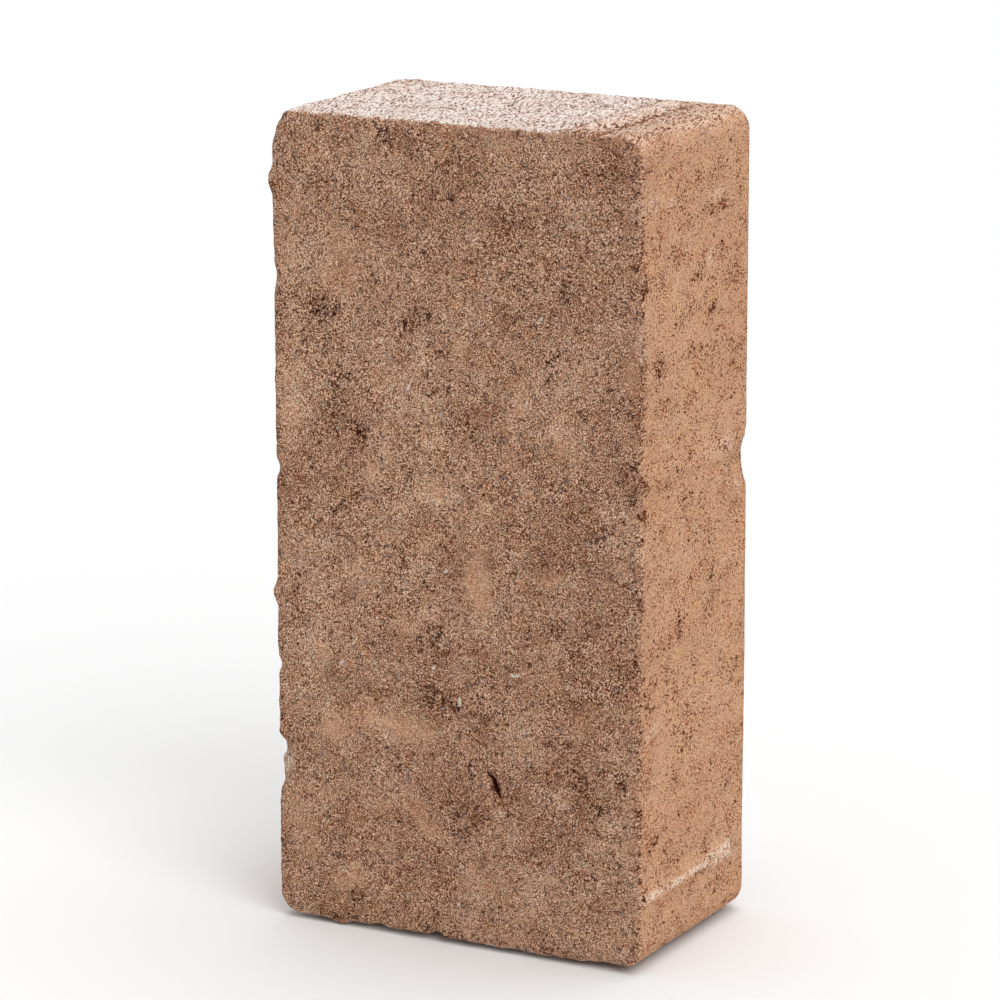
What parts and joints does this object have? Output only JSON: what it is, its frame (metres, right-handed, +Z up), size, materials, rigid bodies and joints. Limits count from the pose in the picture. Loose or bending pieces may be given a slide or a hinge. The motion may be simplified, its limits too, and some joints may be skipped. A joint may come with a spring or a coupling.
{
  "type": "concrete paver",
  "caption": "Rectangular cast concrete paver with rounded corners, an eased wear edge and low spacer ribs on its four sides, standing on one short end.",
  "frame": {"origin": "on the floor, under the middle of the standing paver", "axes": "+Z up along the paver's length, +Y towards its wear face, X across its width"},
  "size_m": [0.101, 0.06, 0.2011],
  "materials": {
    "concrete": "matte, pitted and sandy cast concrete"
  },
  "bodies": {
    "root": {"paver": "concrete"}
  },
  "joints": []
}
